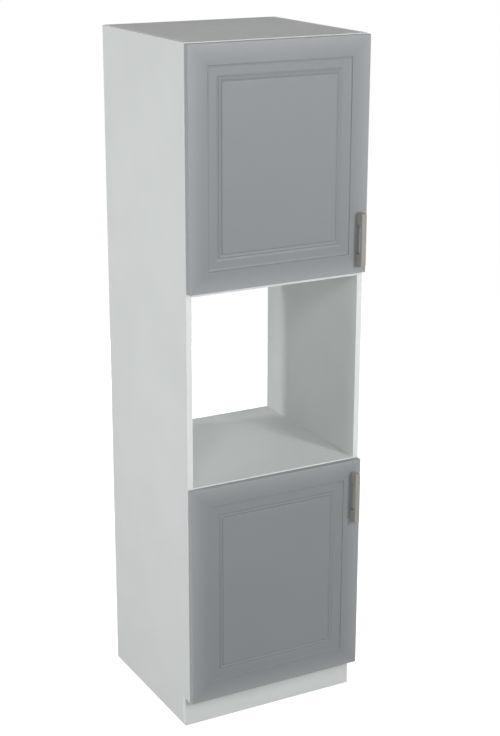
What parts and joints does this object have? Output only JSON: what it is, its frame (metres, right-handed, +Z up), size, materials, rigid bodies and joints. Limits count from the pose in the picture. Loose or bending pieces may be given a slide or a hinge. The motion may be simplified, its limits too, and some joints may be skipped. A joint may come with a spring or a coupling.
{
  "type": "oven housing unit",
  "caption": "Tall kitchen cabinet with an open niche for a built-in oven between an upper and a lower cupboard, each with a routed door and a bow handle.",
  "frame": {"origin": "on the floor, under the middle of the bounding box, with the handles counted in its depth", "axes": "+Z up, -Y towards the front with the doors, +X to the viewer's right, which is the handle side"},
  "size_m": [0.6, 0.61, 2.14],
  "materials": {
    "board_white": "white melamine, fine satin",
    "back_board": "white lacquered hardboard",
    "door_grey": "grey foil over routed fibreboard, satin",
    "handle_nickel": "brushed nickel",
    "hinge_steel": "nickel plate",
    "fixing_steel": "zinc plate",
    "bumper_rubber": "soft, clear to white",
    "glide_plastic": "grey, matt"
  },
  "bodies": {
    "carcase": {"base_panel": "board_white", "floor_glide_back_left": "glide_plastic", "floor_glide_back_right": "glide_plastic", "floor_glide_front_left": "glide_plastic", "floor_glide_front_right": "glide_plastic", "left_side_panel": "board_white", "lower_back_panel": "back_board", "lower_hinge_arm_bottom": "hinge_steel", "lower_hinge_arm_top": "hinge_steel", "lower_hinge_plate_bottom": "hinge_steel", "lower_hinge_plate_top": "hinge_steel", "lower_shelf": "board_white", "lower_shelf_pin_back_left": "fixing_steel", "lower_shelf_pin_back_right": "fixing_steel", "lower_shelf_pin_front_left": "fixing_steel", "lower_shelf_pin_front_right": "fixing_steel", "oven_shelf": "board_white", "plinth_board": "board_white", "right_side_panel": "board_white", "top_panel": "board_white", "upper_back_panel": "back_board", "upper_cupboard_floor": "board_white", "upper_hinge_arm_bottom": "hinge_steel", "upper_hinge_arm_top": "hinge_steel", "upper_hinge_plate_bottom": "hinge_steel", "upper_hinge_plate_top": "hinge_steel", "upper_shelf": "board_white", "upper_shelf_pin_back_left": "fixing_steel", "upper_shelf_pin_back_right": "fixing_steel", "upper_shelf_pin_front_left": "fixing_steel", "upper_shelf_pin_front_right": "fixing_steel"},
    "upper_door": {"upper_door": "door_grey", "upper_door_bumper_bottom": "bumper_rubber", "upper_door_bumper_top": "bumper_rubber", "upper_handle": "handle_nickel", "upper_handle_screw_bottom": "fixing_steel", "upper_handle_screw_top": "fixing_steel", "upper_hinge_cup_bottom": "hinge_steel", "upper_hinge_cup_top": "hinge_steel"},
    "upper_hinge_links": {"upper_hinge_link_bottom": "hinge_steel", "upper_hinge_link_top": "hinge_steel"},
    "lower_door": {"lower_door": "door_grey", "lower_door_bumper_bottom": "bumper_rubber", "lower_door_bumper_top": "bumper_rubber", "lower_handle": "handle_nickel", "lower_handle_screw_bottom": "fixing_steel", "lower_handle_screw_top": "fixing_steel", "lower_hinge_cup_bottom": "hinge_steel", "lower_hinge_cup_top": "hinge_steel"},
    "lower_hinge_links": {"lower_hinge_link_bottom": "hinge_steel", "lower_hinge_link_top": "hinge_steel"}
  },
  "joints": [
    {"name": "upper_door_swing", "type": "hinge", "parent": "carcase", "child": "upper_door", "pos_m": [-0.2919, -0.275, 1.7815], "axis": [0, 0, -1], "range_deg": [0, 100]},
    {"name": "upper_hinge_link_turn", "type": "hinge", "parent": "carcase", "child": "upper_hinge_links", "pos_m": [-0.2634, -0.2672, 1.7815], "axis": [0, 0, 1], "range_deg": [0, 62]},
    {"name": "lower_door_swing", "type": "hinge", "parent": "carcase", "child": "lower_door", "pos_m": [-0.2919, -0.275, 0.4605], "axis": [0, 0, -1], "range_deg": [0, 100]},
    {"name": "lower_hinge_link_turn", "type": "hinge", "parent": "carcase", "child": "lower_hinge_links", "pos_m": [-0.2634, -0.2672, 0.4605], "axis": [0, 0, 1], "range_deg": [0, 62]}
  ],
  "couplings": [
    {"joint": "upper_hinge_link_turn", "follows": "upper_door_swing", "ratio": 0.62},
    {"joint": "lower_hinge_link_turn", "follows": "lower_door_swing", "ratio": 0.62}
  ]
}
